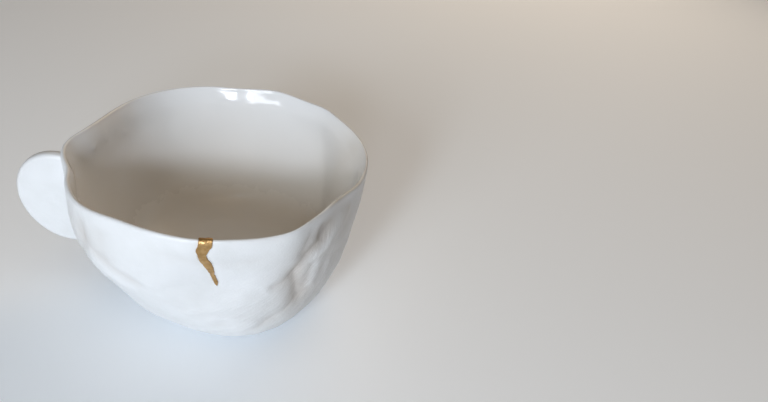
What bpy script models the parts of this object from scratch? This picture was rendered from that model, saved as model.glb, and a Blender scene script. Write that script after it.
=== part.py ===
"""Kintsugi cup: a small porcelain cup, squeezed out of round while it was soft, with a flat disc
for a handle, a folded underside and one chip in the rim that is filled with gold lacquer.

Two solids: cup_body, the porcelain with its disc handle, and gold_seam, the gold that fills the
chip right through the wall. Built in metres, +Z up, with the cup standing on Z = 0 and the origin
under its middle. The handle points along -X and the gold faces -Y.
"""

import math

import bmesh
import bpy
import numpy as np

MM = 0.001

# Driving dimensions of the cup as it was turned, in millimetres.
RIM_HEIGHT = 51.3               # up to where the wall begins to round over into the lip
# Outside of the wall from the foot to the rim: radius, and height as a share of RIM_HEIGHT.
OUTSIDE = (
    (10.0, 0.0), (15.0, 0.003), (21.0, 0.020), (27.6, 0.064), (34.6, 0.17), (38.8, 0.345),
    (42.2, 0.575), (45.0, 0.80), (45.4, 1.0),
)
LIP_THICKNESS = 2.6
WALL_THICKNESS = 3.0
FLOOR_THICKNESS = 6.0
FLOOR_BLEND = 14.0              # height over which the floor's thickness runs into the wall's

# Mesh fineness of the turned blank.
STEPS_AROUND = 160
WALL_RINGS = 56
FOOT_RINGS = 10
LIP_RINGS = 5
KEPT_FACES = 0.206              # share of the blank's triangles that the solid keeps
FOOT_CUT = 0.08                 # ground off the foot, so that it stands on one true plane

# Hand squeezes of the soft wall: direction in degrees from +X, height share, spread in degrees,
# spread in height share, and millimetres outwards.
SQUEEZES = (
    (332, 0.88, 17, 0.22, -4.0),    # deep thumb dent at the front right of the rim
    (269, 0.68, 13, 0.16, -3.0),    # the wall leans in below the gold
    (222, 0.66, 20, 0.17, 2.8),     # full shoulder at the front left
    (182, 0.56, 18, 0.15, 1.3),     # belly under the handle's root
    (125, 1.00, 16, 0.20, 2.4),     # back left corner of the rim
    (163, 1.00, 14, 0.22, -2.6),    # dent behind the handle
    (202, 1.00, 15, 0.12, 1.9),     # left corner of the rim
    (287, 1.00, 14, 0.12, 0.9),     # small swell right of the gold
    (14, 1.00, 12, 0.12, 1.6),      # right corner of the rim
    (200, 1.00, 6, 0.10, -1.6),     # pinch in the rim beside the handle
    (233, 1.00, 8, 0.14, -0.9),     # the rim drawn in at the front left
    (263, 1.00, 8, 0.14, 0.6),      # and let out again at the gold
    (297, 1.00, 5, 0.12, 0.9),      # sharp turn of the rim at the front right
    (331, 1.00, 9, 0.12, -0.5),     # the rim beyond it runs nearly straight
    (43, 1.00, 5, 0.10, 0.4),       # back right corner of the rim
    (182, 1.00, 6, 0.14, 1.7),      # the rim drawn out along the handle
    (196, 1.00, 3, 0.06, -0.5),     # small notch in the rim beside the handle
    (202, 1.00, 4, 0.09, 0.6),      # and the lip standing out again past it
    (329, 0.77, 12, 0.09, 1.2),     # the wall comes out again under the thumb dent
    (223, 0.33, 14, 0.14, -0.8),    # the belly drawn in at the front left
    (330, 0.24, 14, 0.14, -0.5),    # and at the front right
    (356, 0.18, 12, 0.07, 0.6),     # low swell at the right
    (47, 0.17, 9, 0.07, 0.5),       # low swell at the back right
    (72, 0.12, 8, 0.07, -1.0),      # hollow beside it
    (98, 0.14, 16, 0.10, 2.4),      # low swell at the back
    (130, 0.20, 8, 0.06, -0.6),     # hollow at the back left
    (290, 0.12, 22, 0.10, 2.4),     # low swell at the front right
    (245, 0.10, 14, 0.09, -1.8),    # low hollow at the front left
    (135, 0.34, 13, 0.10, 1.4),     # low swell at the back left
)
STIFF_RADIUS = 12.0             # the squeezes leave the foot inside this radius alone
# Waves of the rim: direction and spread in degrees, and millimetres up.
RIM_WAVES = (
    (352, 22, -4.2), (173, 16, 2.4), (218, 16, -1.8), (80, 45, 1.3), (307, 16, 1.4),
    (240, 16, 0.75), (290, 7, -0.6), (319, 5, 0.7), (331, 9, 0.6),
    (43, 5, 0.4), (69, 6, 0.55), (88, 7, -0.6), (123, 14, -0.35),
)
LEVEL_FOOT = 10.0               # height over which the waves begin

# Folded underside: lobes as thick strokes in plan, each with its radius and rise, pressed together
# over a hollow so that only the creases between them stay open.
HOLLOW_DEPTH = 2.4
HOLLOW_MIDDLE = (1.0, 15.0)
HOLLOW_REACH = (27.0, 13.0)
HOLLOW_EDGE = 1.25              # where the hollow ends, as a share of its reach
HOLLOW_SLOPE = 0.4              # and the share over which it runs out
HOLLOW_TOP = 12.0               # height on the wall up to which it is felt
HOLLOW_FADE = 8.0
PLATE_SIZE = 120.0              # of the block that grinds the foot flat
LOBES = (
    (((-20, 2.5), (-15, 9), (-9, 13.5), (-3, 15)), 5.0, 2.5),
    (((-11, 0.5), (-8, 4), (-4.5, 7.5)), 2.5, 1.9),
    (((-5, -1), (-1.5, 3), (-1, 6.5)), 3.9, 2.45),
    (((1.8, 9.8), (1.6, 12.6), (0, 14.8)), 2.0, 2.0),
    (((-3, 19), (3, 18.5)), 3.4, 2.0),
    (((5, 12.5), (6, 8)), 3.9, 2.5),
    (((9.6, 7.5), (9.8, 12), (12.5, 13.2), (14.6, 10.5)), 2.3, 2.1),
    (((11, 7.6), (16, 5.6)), 3.1, 2.2),
    (((18, 14.5), (22, 11)), 4.2, 2.0),
    (((21, 6), (27, 1)), 5.2, 2.2),
    (((4, 1.8), (3.5, -1)), 3.4, 2.1),
    (((9.5, 0.8), (14, -1.5), (20, -6)), 4.6, 2.45),
    (((8, 19), (13, 19)), 4.0, 2.0),
    (((-15, 19), (-8, 21)), 4.6, 2.2),
    (((-25, 6), (-23, 12)), 4.6, 2.0),
)

# Folds of the outside wall: points as direction in degrees and height share, half width and
# millimetres outwards, so that a crease is negative.
FOLDS = (
    (((328, 0.97), (322, 0.91), (315.7, 0.85), (312, 0.81), (307.8, 0.79), (304.7, 0.75), (302.6, 0.70),
      (301.7, 0.64), (303, 0.54), (306.6, 0.39), (309, 0.30)), 2.8, -1.4),
    (((304, 0.70), (301.7, 0.64), (298.8, 0.62), (295.9, 0.60), (293.5, 0.59), (289, 0.57)), 1.7, -0.6),
    (((323, 1.05), (318, 0.99), (313.4, 0.95), (313.3, 0.87), (311, 0.80)), 2.4, -0.9),
    (((306, 1.03), (305.4, 0.97), (304.5, 0.89), (302.5, 0.81), (301, 0.75)), 2.0, -0.45),
    (((340, 0.94), (330, 0.87), (321.2, 0.81), (315.5, 0.75), (311.5, 0.72), (308, 0.66)), 2.2, 0.8),
    (((315, 0.72), (313, 0.62), (312.7, 0.53), (310, 0.42)), 2.2, 0.45),
    (((310, 0.70), (309.5, 0.63), (308.9, 0.52), (309, 0.44)), 1.3, -0.3),
    (((284, 0.24), (290, 0.26), (299, 0.32), (309, 0.41), (314, 0.45)), 2.0, -0.4),
    (((209, 0.88), (215, 0.84), (223, 0.77), (231, 0.71), (240, 0.62), (246, 0.56)), 2.0, -0.55),
    (((218, 0.69), (224, 0.66), (233, 0.58), (240, 0.53)), 2.6, 0.4),
    (((217, 1.08), (217, 1.00), (218, 0.82), (212, 0.62), (209, 0.54)), 2.0, -0.55),
    (((226, 0.98), (227, 0.92), (229, 0.78), (230, 0.70)), 2.6, -0.35),
    (((248, 0.91), (256, 0.885), (264, 0.86), (272, 0.84), (284, 0.87), (292, 0.90)), 1.9, -0.25),
    (((185, 0.42), (187, 0.36), (191, 0.25), (197, 0.17), (201, 0.12)), 2.3, -0.95),
    (((200, 0.42), (207, 0.38), (217, 0.30), (216, 0.15), (204, 0.07), (196, 0.05)), 2.3, -0.75),
    (((186, 0.54), (190, 0.50), (198, 0.44), (202, 0.40)), 2.6, 0.7),
    (((22, 0.80), (24, 0.70), (30, 0.45), (22, 0.30), (18, 0.22)), 3.0, -0.75),
    (((55, 0.66), (60, 0.60), (72, 0.42), (70, 0.26), (69, 0.20)), 3.0, 0.6),
    (((109, 0.74), (112, 0.66), (118, 0.48), (108, 0.32), (104, 0.26)), 3.0, -0.65),
    (((147, 0.48), (150, 0.40), (158, 0.22), (161, 0.16)), 2.8, -0.75),
)
FOLD_TAPER = 0.22               # share of a fold's length over which it fades in and out
FOLD_LIP_FADE = 6.0             # height under the rim over which the folds fade out
CREASE_FLOOR = 0.35             # how round the bottom of a crease is, in half widths

# Disc handle: a flat disc of porcelain, taller than it is wide, standing nearly upright in the wall.
HANDLE_HALF_HEIGHT = 17.4
HANDLE_HALF_WIDTH = 14.8
HANDLE_THICKNESS = 3.4
HANDLE_CENTRE = (-49.7, 1.5, 32.8)
HANDLE_FACES = (-100.0, -5.3)       # direction and rise of its axis, in degrees
HANDLE_ROUND = 1.2
HANDLE_SIDES = 56

# Gold-filled chip, seen from the front: depth under the rim, then where its left and right edges
# lie across X.
CHIP_COURSE = (
    (-4.0, -3.7, -0.1), (1.0, -3.7, -0.35), (2.4, -4.1, -0.9), (3.7, -4.4, -1.5), (5.3, -4.0, -2.1),
    (7.0, -3.95, -1.75), (8.8, -3.25, -1.05), (10.8, -2.4, -0.65), (12.9, -1.8, -0.5),
    (14.6, -1.3, -0.45), (16.6, -0.9, 0.0), (18.2, -0.6, 0.3),
)
CHIP_TIP = (19.6, 0.15)
CHIP_FRONT = 62.0               # where the prism that cuts the chip starts, in front of the wall
CHIP_REACH = 34.0               # its length along Y, right through the wall
CHIP_RIM = 52.5                 # height of the rim where the chip is
GOLD_PROUD = 0.3                # how far the gold stands out of the porcelain
GOLD_GAP = 0.3                  # clearance between gold and porcelain

PORCELAIN = ("porcelain", (0.84, 0.86, 0.88, 1.0), 0.38, 0.0)
GOLD = ("gold_lacquer", (0.56, 0.36, 0.13, 1.0), 0.42, 1.0)


def smooth_step(value):
    """Ease a value from 0 to 1."""
    eased = np.clip(value, 0.0, 1.0)
    return eased * eased * (3.0 - 2.0 * eased)


def course(points, steps):
    """Points along a smooth curve (Catmull-Rom) through the given points, steps to each stretch."""
    knots = np.array(points, dtype=float)
    knots = np.vstack([2.0 * knots[0] - knots[1], knots, 2.0 * knots[-1] - knots[-2]])
    share = np.linspace(0.0, 1.0, steps, endpoint=False)[:, None]
    stretches = []
    for first in range(len(knots) - 3):
        before, start, end, after = knots[first:first + 4]
        stretches.append(0.5 * (
            2.0 * start + (end - before) * share
            + (2.0 * before - 5.0 * start + 4.0 * end - after) * share ** 2
            + (3.0 * start - before - 3.0 * end + after) * share ** 3))
    return np.vstack(stretches + [knots[-2:-1]])


def wall_thickness(height):
    """Thickness of floor and wall at a height, thinning to the lip at the rim."""
    floor_share = 1.0 - smooth_step(height / FLOOR_BLEND)
    lip_share = smooth_step((height / RIM_HEIGHT - 0.5) * 2.0)
    wall = WALL_THICKNESS + (LIP_THICKNESS - WALL_THICKNESS) * lip_share
    return wall + (FLOOR_THICKNESS - WALL_THICKNESS) * floor_share


def outside_profile():
    """Radius and height down the turned outside, from the foot's edge to the rim."""
    knots = [(radius, share * RIM_HEIGHT) for radius, share in OUTSIDE]
    fine = course(knots, 40)
    reach = np.concatenate([[0.0], np.cumsum(np.hypot(*np.diff(fine, axis=0).T))])
    stations = np.linspace(0.0, reach[-1], WALL_RINGS)
    return np.stack([np.interp(stations, reach, fine[:, 0]), np.interp(stations, reach, fine[:, 1])], 1)


def turned_section(grow):
    """Half section of the cup from the middle of its underside, over the lip, to the middle of
    its floor. grow swells it on all sides."""
    outside = outside_profile()
    slope = np.gradient(outside, axis=0)
    slope /= np.linalg.norm(slope, axis=1)[:, None]
    outward = np.stack([slope[:, 1], -slope[:, 0]], 1)
    thickness = wall_thickness(outside[:, 1])[:, None]
    outer = outside + outward * grow
    inner = outside - outward * (thickness + grow)
    foot_edge = outer[0]
    foot = [(foot_edge[0] * share, foot_edge[1]) for share in np.linspace(0.0, 1.0, FOOT_RINGS)[:-1]]
    floor_edge = inner[0]
    floor = [(floor_edge[0] * share, floor_edge[1]) for share in np.linspace(1.0, 0.0, FOOT_RINGS)[1:]]
    lip_middle = (outer[-1] + inner[-1]) / 2.0
    lip_half = np.linalg.norm(outer[-1] - inner[-1]) / 2.0
    lip = []
    for ring in range(1, LIP_RINGS):
        turn = math.pi * ring / LIP_RINGS
        lip.append(lip_middle + lip_half * (outward[-1] * math.cos(turn) + slope[-1] * math.sin(turn)))
    return np.array(list(foot) + list(outer) + lip + list(inner[::-1]) + list(floor))


def bump(angle, middle, spread):
    """A soft bump round a direction in degrees."""
    apart = (angle - middle + 180.0) % 360.0 - 180.0
    return np.exp(-(apart / spread) ** 2 / 2.0)


def squeezed(points):
    """Move points of the turned cup to where the hand squeezes leave them."""
    radius = np.hypot(points[:, 0], points[:, 1])
    angle = np.degrees(np.arctan2(points[:, 1], points[:, 0]))
    share = points[:, 2] / RIM_HEIGHT
    push = np.zeros(len(points))
    for direction, level, spread, tall, outwards in SQUEEZES:
        push += outwards * bump(angle, direction, spread) * np.exp(-((share - level) / tall) ** 2 / 2.0)
    lift = np.zeros(len(points))
    for direction, spread, upwards in RIM_WAVES:
        lift += upwards * bump(angle, direction, spread)
    push *= smooth_step((radius - STIFF_RADIUS) / STIFF_RADIUS)
    new_radius = radius + push
    new_height = points[:, 2] + lift * share * smooth_step(points[:, 2] / LEVEL_FOOT)
    turn = np.radians(angle)
    return np.stack([new_radius * np.cos(turn), new_radius * np.sin(turn), new_height], 1)


def on_wall(direction, share):
    """Where a direction and height share lie on the squeezed outside."""
    outside = outside_profile()
    height = share * RIM_HEIGHT
    radius = float(np.interp(height, outside[:, 1], outside[:, 0]))
    turn = math.radians(direction)
    return squeezed(np.array([[radius * math.cos(turn), radius * math.sin(turn), height]]))[0]


def nearest_on(points, stroke):
    """Distance from each point to a stroke, a row of points, and how far along it the nearest place is."""
    lengths = np.linalg.norm(np.diff(stroke, axis=0), axis=1)
    reached = np.concatenate([[0.0], np.cumsum(lengths)]) / lengths.sum()
    nearest = np.full(len(points), np.inf)
    share = np.zeros(len(points))
    for piece, start in enumerate(stroke[:-1]):
        along = stroke[piece + 1] - start
        done = np.clip((points - start) @ along / (along @ along), 0.0, 1.0)
        away = np.linalg.norm(points - start - done[:, None] * along, axis=1)
        closer = away < nearest
        nearest = np.where(closer, away, nearest)
        share = np.where(closer, reached[piece] + done * (reached[piece + 1] - reached[piece]), share)
    return nearest, share


def fold_profile(away, half_width, rise):
    """Height of a fold across its width: round for a ridge, sharp for a crease."""
    across = away / half_width
    if rise > 0.0:
        return rise * np.exp(-across ** 2)
    return rise * np.exp(CREASE_FLOOR - np.hypot(across, CREASE_FLOOR))


def relief(points):
    """Millimetres outwards at each point of the outside: folds of the wall and the lobed foot."""
    outwards = np.zeros(len(points))
    for places, half_width, rise in FOLDS:
        stroke = course([on_wall(direction, share) for direction, share in places], 5)
        away, along = nearest_on(points, stroke)
        ends = smooth_step(along / FOLD_TAPER) * smooth_step((1.0 - along) / FOLD_TAPER)
        outwards += fold_profile(away, half_width, rise) * ends
    lobe = np.zeros(len(points))
    for places, reach, rise in LOBES:
        stroke = course([(x, y, 0.0) for x, y in places], 5)
        inside = np.clip(1.0 - (nearest_on(points, stroke)[0] / reach) ** 2, 0.0, 1.0)
        lobe = np.maximum(lobe, rise * np.sqrt(inside))
    across = (points[:, 0] - HOLLOW_MIDDLE[0]) / HOLLOW_REACH[0]
    along = (points[:, 1] - HOLLOW_MIDDLE[1]) / HOLLOW_REACH[1]
    hollow = HOLLOW_DEPTH * smooth_step((HOLLOW_EDGE - np.hypot(across, along)) / HOLLOW_SLOPE)
    hollow *= smooth_step((HOLLOW_TOP - points[:, 2]) / HOLLOW_FADE)
    return outwards + np.minimum(lobe - hollow, 0.0)


def new_object(name, mesh, collection):
    """Put a mesh into a collection under a name."""
    mesh.name = name
    thing = bpy.data.objects.new(name, mesh)
    collection.objects.link(thing)
    return thing


def finish_with(thing, finish):
    """Give an object its own material."""
    name, colour, roughness, metallic = finish
    material = bpy.data.materials.new(name)
    material.use_nodes = True
    shader = material.node_tree.nodes["Principled BSDF"]
    shader.inputs["Base Color"].default_value = colour
    shader.inputs["Roughness"].default_value = roughness
    shader.inputs["Metallic"].default_value = metallic
    thing.data.materials.append(material)


def as_guide(thing):
    """Mark an object as a cutter that isn't part of the cup."""
    thing.hide_render = True
    thing.display_type = "WIRE"


def boolean(thing, operation, other):
    """Add an exact Boolean modifier."""
    modifier = thing.modifiers.new(operation.title() + "_" + other.name, "BOOLEAN")
    modifier.operation = operation
    modifier.object = other
    modifier.solver = "EXACT"


def turned_mesh(section):
    """Turn a half section about Z with a Screw modifier and return the closed mesh."""
    outline = bpy.data.meshes.new("section")
    corners = [(radius * MM, 0.0, height * MM) for radius, height in section[::-1]]
    outline.from_pydata(corners, [(at, at + 1) for at in range(len(corners) - 1)], [])
    wheel = bpy.data.objects.new("wheel", outline)
    bpy.context.scene.collection.objects.link(wheel)
    turn = wheel.modifiers.new("Turn", "SCREW")
    turn.steps = STEPS_AROUND
    turn.render_steps = STEPS_AROUND
    turn.use_merge_vertices = True
    turn.merge_threshold = 0.00001
    turned = bpy.data.meshes.new_from_object(wheel.evaluated_get(bpy.context.evaluated_depsgraph_get()))
    bpy.data.objects.remove(wheel)
    return turned


def read_points(mesh):
    """A mesh's points in millimetres."""
    flat = np.empty(len(mesh.vertices) * 3)
    mesh.vertices.foreach_get("co", flat)
    return flat.reshape(-1, 3) / MM


def write_points(mesh, points):
    """Set a mesh's points from millimetres."""
    mesh.vertices.foreach_set("co", (points * MM).ravel())
    mesh.update()


def shape_cup(mesh, with_relief):
    """Squeeze a turned cup, fold its outside, and set it down by what is ground off its foot."""
    turned = read_points(mesh)
    outside = outside_profile()
    radius = np.hypot(turned[:, 0], turned[:, 1])
    middle = np.interp(turned[:, 2], outside[:, 1], outside[:, 0]) - WALL_THICKNESS / 2.0
    is_outside = (radius > middle) | (turned[:, 2] < FLOOR_THICKNESS / 2.0)
    points = squeezed(turned)
    if with_relief:
        write_points(mesh, points)
        normals = np.empty(len(mesh.vertices) * 3)
        mesh.vertices.foreach_get("normal", normals)
        fade = smooth_step((RIM_HEIGHT - turned[:, 2]) / FOLD_LIP_FADE) * is_outside
        points = points + normals.reshape(-1, 3) * (relief(points) * fade)[:, None]
        points[:, 2] = np.maximum(points[:, 2], 0.0)
    write_points(mesh, points - np.array((0.0, 0.0, FOOT_CUT)))


def solid_core(collection):
    """The squeezed cup filled up from the middle of its wall inwards, which trims the handle."""
    side = outside_profile()
    side[:, 0] -= wall_thickness(side[:, 1]) / 2.0
    bottom = FLOOR_THICKNESS / 2.0
    side = side[side[:, 1] > bottom]
    section = [(0.0, bottom), *side, (0.0, RIM_HEIGHT)]
    mesh = turned_mesh(np.array(section))
    write_points(mesh, squeezed(read_points(mesh)))
    core = new_object("core", mesh, collection)
    as_guide(core)
    return core


def disc_handle(collection, core):
    """The flat disc with its rounded edge, trimmed where it would reach into the cup."""
    direction, rise = (math.radians(value) for value in HANDLE_FACES)
    bpy.ops.mesh.primitive_cylinder_add(
        vertices=HANDLE_SIDES,
        radius=HANDLE_HALF_HEIGHT * MM,
        depth=HANDLE_THICKNESS * MM,
        location=[value * MM for value in HANDLE_CENTRE],
        rotation=(0.0, math.pi / 2.0 - rise, direction))
    disc = bpy.context.object
    disc.name = "handle_disc"
    for point in disc.data.vertices:
        point.co.y *= HANDLE_HALF_WIDTH / HANDLE_HALF_HEIGHT
    for old in list(disc.users_collection):
        old.objects.unlink(disc)
    collection.objects.link(disc)
    edge = disc.modifiers.new("Rounded edge", "BEVEL")
    edge.width = HANDLE_ROUND * MM
    edge.segments = 2
    edge.limit_method = "ANGLE"
    boolean(disc, "DIFFERENCE", core)
    as_guide(disc)
    return disc


def chip_prism(name, grow, collection):
    """The chip's outline pushed through the front wall. grow widens it on all sides."""
    left = [(edge - grow, CHIP_RIM - depth) for depth, edge, _ in CHIP_COURSE]
    right = [(edge + grow, CHIP_RIM - depth) for depth, _, edge in CHIP_COURSE]
    tip = (CHIP_TIP[1], CHIP_RIM - CHIP_TIP[0] - grow * 2.0)
    rows = bmesh.new()
    corners = [rows.verts.new((x * MM, -CHIP_FRONT * MM, z * MM)) for x, z in left + [tip] + right[::-1]]
    front = rows.faces.new(corners)
    pushed = bmesh.ops.extrude_face_region(rows, geom=[front])
    moved = [part for part in pushed["geom"] if isinstance(part, bmesh.types.BMVert)]
    bmesh.ops.translate(rows, verts=moved, vec=(0.0, CHIP_REACH * MM, 0.0))
    bmesh.ops.recalc_face_normals(rows, faces=rows.faces)
    mesh = bpy.data.meshes.new(name)
    rows.to_mesh(mesh)
    rows.free()
    return new_object(name, mesh, collection)


def grinding_plate(collection):
    """A block under the cup whose top is the plane that the foot is ground to."""
    bpy.ops.mesh.primitive_cube_add(size=PLATE_SIZE * MM, location=(0.0, 0.0, -PLATE_SIZE * MM / 2.0))
    plate = bpy.context.object
    plate.name = "grinding_plate"
    for old in list(plate.users_collection):
        old.objects.unlink(plate)
    collection.objects.link(plate)
    as_guide(plate)
    return plate


def cup_body(parts, disc, chip, plate):
    """Porcelain wall, lip, floor and folded foot in one piece with the disc handle."""
    mesh = turned_mesh(turned_section(0.0))
    shape_cup(mesh, True)
    body = new_object("cup_body", mesh, parts)
    fewer = body.modifiers.new("Fewer faces", "DECIMATE")
    fewer.ratio = KEPT_FACES
    boolean(body, "UNION", disc)
    boolean(body, "DIFFERENCE", chip)
    boolean(body, "DIFFERENCE", plate)
    finish_with(body, PORCELAIN)


def gold_seam(parts, cutters):
    """Gold lacquer that fills the chip from the inside of the wall to the outside."""
    mesh = turned_mesh(turned_section(GOLD_PROUD))
    shape_cup(mesh, False)
    proud_wall = new_object("proud_wall", mesh, cutters)
    as_guide(proud_wall)
    seam = chip_prism("gold_seam", 0.0, parts)
    boolean(seam, "INTERSECT", proud_wall)
    finish_with(seam, GOLD)


def main():
    for thing in list(bpy.data.objects):
        bpy.data.objects.remove(thing)
    parts = bpy.data.collections.new("kintsugi_cup")
    cutters = bpy.data.collections.new("cutters")
    bpy.context.scene.collection.children.link(parts)
    bpy.context.scene.collection.children.link(cutters)
    core = solid_core(cutters)
    disc = disc_handle(cutters, core)
    chip = chip_prism("chip", GOLD_GAP, cutters)
    as_guide(chip)
    cup_body(parts, disc, chip, grinding_plate(cutters))
    gold_seam(parts, cutters)


main()
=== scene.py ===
"""Looks of the kintsugi cup: the squeezed porcelain cup with its disc handle and folded underside,
the gold lacquer that fills the chip in its rim, and a plain stage with soft light.

Laid out as an add-on and run as a script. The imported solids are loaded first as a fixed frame, and
every piece here is modelled in the same place and stands for one of them. Shapes are worked out in
the cup's own millimetres and turned into metres at the end.
"""

import math

import bpy
import numpy as np
from mathutils import Matrix, Vector, kdtree, noise


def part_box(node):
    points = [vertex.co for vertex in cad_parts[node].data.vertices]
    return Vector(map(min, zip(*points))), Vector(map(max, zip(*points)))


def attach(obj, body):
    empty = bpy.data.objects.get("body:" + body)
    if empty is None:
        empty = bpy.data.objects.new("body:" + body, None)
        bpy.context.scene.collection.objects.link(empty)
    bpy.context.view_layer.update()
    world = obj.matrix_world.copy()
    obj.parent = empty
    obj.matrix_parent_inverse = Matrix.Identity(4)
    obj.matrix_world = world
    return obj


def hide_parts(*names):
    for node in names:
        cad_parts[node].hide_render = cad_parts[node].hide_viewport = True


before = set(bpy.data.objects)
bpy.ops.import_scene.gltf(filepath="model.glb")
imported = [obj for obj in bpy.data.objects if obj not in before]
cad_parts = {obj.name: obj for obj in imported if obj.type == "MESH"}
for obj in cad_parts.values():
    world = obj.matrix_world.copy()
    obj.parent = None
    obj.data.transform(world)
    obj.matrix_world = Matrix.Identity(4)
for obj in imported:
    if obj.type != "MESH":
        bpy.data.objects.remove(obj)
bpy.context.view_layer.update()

bl_info = {
    "name": "Kintsugi Cup",
    "version": (1, 0, 0),
    "blender": (4, 5, 0),
    "location": "View3D > Sidebar > Cup",
    "description": "Models a porcelain cup with a gold-filled chip, its finishes and a plain stage",
    "category": "Add Mesh",
}

CUP_LOW, CUP_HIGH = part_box("cup_body")
TAB = "Cup"

DESIGN_LENGTH = 110.33          # length over the disc handle for which the sizes below were drawn
MM = (CUP_HIGH.x - CUP_LOW.x) / DESIGN_LENGTH

# Driving dimensions of the cup as it was turned, in millimetres.
RIM_HEIGHT = 51.3               # up to where the wall begins to round over into the lip
# Outside of the wall from the foot to the rim: radius, and height as a share of RIM_HEIGHT.
OUTSIDE = (
    (10.0, 0.0), (15.0, 0.003), (21.0, 0.020), (27.6, 0.064), (34.6, 0.17), (38.8, 0.345),
    (42.2, 0.575), (45.0, 0.80), (45.4, 1.0),
)
LIP_THICKNESS = 2.6
LIP_EDGE = 1.7                  # thickness of the lip at its very edge
LIP_ROLL = 5.0                  # height over which the inside rolls out to that edge
LIP_TALL = 1.5                  # height of the lip's round over its half thickness
FLARES = ((92, 26, -0.55), (12, 18, -0.3), (300, 14, -0.3))    # thinner lip: direction, spread, mm
WALL_THICKNESS = 3.0
FLOOR_THICKNESS = 6.0
FLOOR_BLEND = 14.0              # height over which the floor's thickness runs into the wall's
FLOOR_EDGE = 0.5                # height over which the inside begins, half way up the floor
FOOT_CUT = 0.08                 # ground off the foot, so that it stands on one true plane
OUTSIDE_ENDS, INSIDE_STARTS = 0.5, 0.9      # as shares of the way in through the wall

# Mesh fineness of the turned cup and of the curves it is drawn from.
STEPS_AROUND = 360
WELD = 0.01                     # points nearer to each other than this are one
WALL_RINGS = 148
INSIDE_RINGS = 66
FOOT_RINGS = 20
FLOOR_RINGS = 8
LIP_RINGS = 10
LIP_CROWD = 1.5                 # how much closer the inside's rings stand at the lip
WALL_STEPS = 40                 # steps between two places of OUTSIDE
STROKE_STEPS = 5                # steps between two places of a lobe or a fold

# Hand squeezes of the soft wall: direction in degrees from +X, height share, spread in degrees,
# spread in height share, and millimetres outwards.
SQUEEZES = (
    (332, 0.88, 17, 0.22, -4.0),  # deep thumb dent at the front right of the rim
    (269, 0.68, 13, 0.16, -3.0),  # the wall leans in below the gold
    (222, 0.66, 20, 0.17, 2.8),   # full shoulder at the front left
    (182, 0.56, 18, 0.15, 1.3),   # belly under the handle's root
    (125, 1.00, 16, 0.20, 2.4),   # back left corner of the rim
    (163, 1.00, 14, 0.22, -2.6),  # dent behind the handle
    (202, 1.00, 15, 0.12, 1.9),   # left corner of the rim
    (287, 1.00, 14, 0.12, 0.9),   # small swell right of the gold
    (14, 1.00, 12, 0.12, 1.6),    # right corner of the rim
    (200, 1.00, 6, 0.10, -1.6),   # pinch in the rim beside the handle
    (233, 1.00, 8, 0.14, -0.9),   # the rim drawn in at the front left
    (263, 1.00, 8, 0.14, 0.6),    # and let out again at the gold
    (297, 1.00, 5, 0.12, 0.9),    # sharp turn of the rim at the front right
    (331, 1.00, 9, 0.12, -0.5),   # the rim beyond it runs nearly straight
    (43, 1.00, 5, 0.10, 0.4),     # back right corner of the rim
    (182, 1.00, 6, 0.14, 1.7),    # the rim drawn out along the handle
    (196, 1.00, 3, 0.06, -0.5),   # small notch in the rim beside the handle
    (202, 1.00, 4, 0.09, 0.6),    # and the lip standing out again past it
    (329, 0.77, 12, 0.09, 1.2),   # the wall comes out again under the thumb dent
    (223, 0.33, 14, 0.14, -0.8),  # the belly drawn in at the front left
    (330, 0.24, 14, 0.14, -0.5),  # and at the front right
    # Low swells and hollows above the foot.
    (356, 0.18, 12, 0.07, 0.6), (47, 0.17, 9, 0.07, 0.5), (72, 0.12, 8, 0.07, -1.0),
    (98, 0.14, 16, 0.10, 2.4), (130, 0.20, 8, 0.06, -0.6), (290, 0.12, 22, 0.10, 2.4),
    (245, 0.10, 14, 0.09, -1.8), (135, 0.34, 13, 0.10, 1.4),
)
STIFF_RADIUS = 12.0             # the squeezes leave the foot inside this radius alone
# Waves of the rim: direction and spread in degrees, and millimetres up.
RIM_WAVES = (
    (352, 22, -4.2), (173, 16, 2.4), (218, 16, -1.8), (80, 45, 1.3), (307, 16, 1.4),
    (240, 16, 0.75), (290, 7, -0.6), (319, 5, 0.7), (331, 9, 0.6),
    (43, 5, 0.4), (69, 6, 0.55), (88, 7, -0.6), (123, 14, -0.35),
)
LEVEL_FOOT = 10.0               # height over which the waves begin

# Folded underside: lobes as thick strokes in plan, each with its radius and rise, pressed together
# over a hollow so that only the creases between them stay open.
HOLLOW_DEPTH = 2.4
HOLLOW_MIDDLE = (1.0, 15.0)
HOLLOW_REACH = (27.0, 13.0)
HOLLOW_EDGE = 1.25              # where the hollow ends, as a share of its reach
HOLLOW_SLOPE = 0.4              # and the share over which it runs out
HOLLOW_TOP = 12.0               # height on the wall up to which it is felt
HOLLOW_FADE = 8.0
LOBES = (
    (((-20, 2.5), (-15, 9), (-9, 13.5), (-3, 15)), 5.0, 2.5),
    (((-11, 0.5), (-8, 4), (-4.5, 7.5)), 2.5, 1.9),
    (((-5, -1), (-1.5, 3), (-1, 6.5)), 3.9, 2.45),
    (((1.8, 9.8), (1.6, 12.6), (0, 14.8)), 2.0, 2.0),
    (((-3, 19), (3, 18.5)), 3.4, 2.0),
    (((5, 12.5), (6, 8)), 3.9, 2.5),
    (((9.6, 7.5), (9.8, 12), (12.5, 13.2), (14.6, 10.5)), 2.3, 2.1),
    (((11, 7.6), (16, 5.6)), 3.1, 2.2),
    (((18, 14.5), (22, 11)), 4.2, 2.0),
    (((21, 6), (27, 1)), 5.2, 2.2),
    (((4, 1.8), (3.5, -1)), 3.4, 2.1),
    (((9.5, 0.8), (14, -1.5), (20, -6)), 4.6, 2.45),
    (((8, 19), (13, 19)), 4.0, 2.0),
    (((-15, 19), (-8, 21)), 4.6, 2.2),
    (((-25, 6), (-23, 12)), 4.6, 2.0),
)

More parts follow.
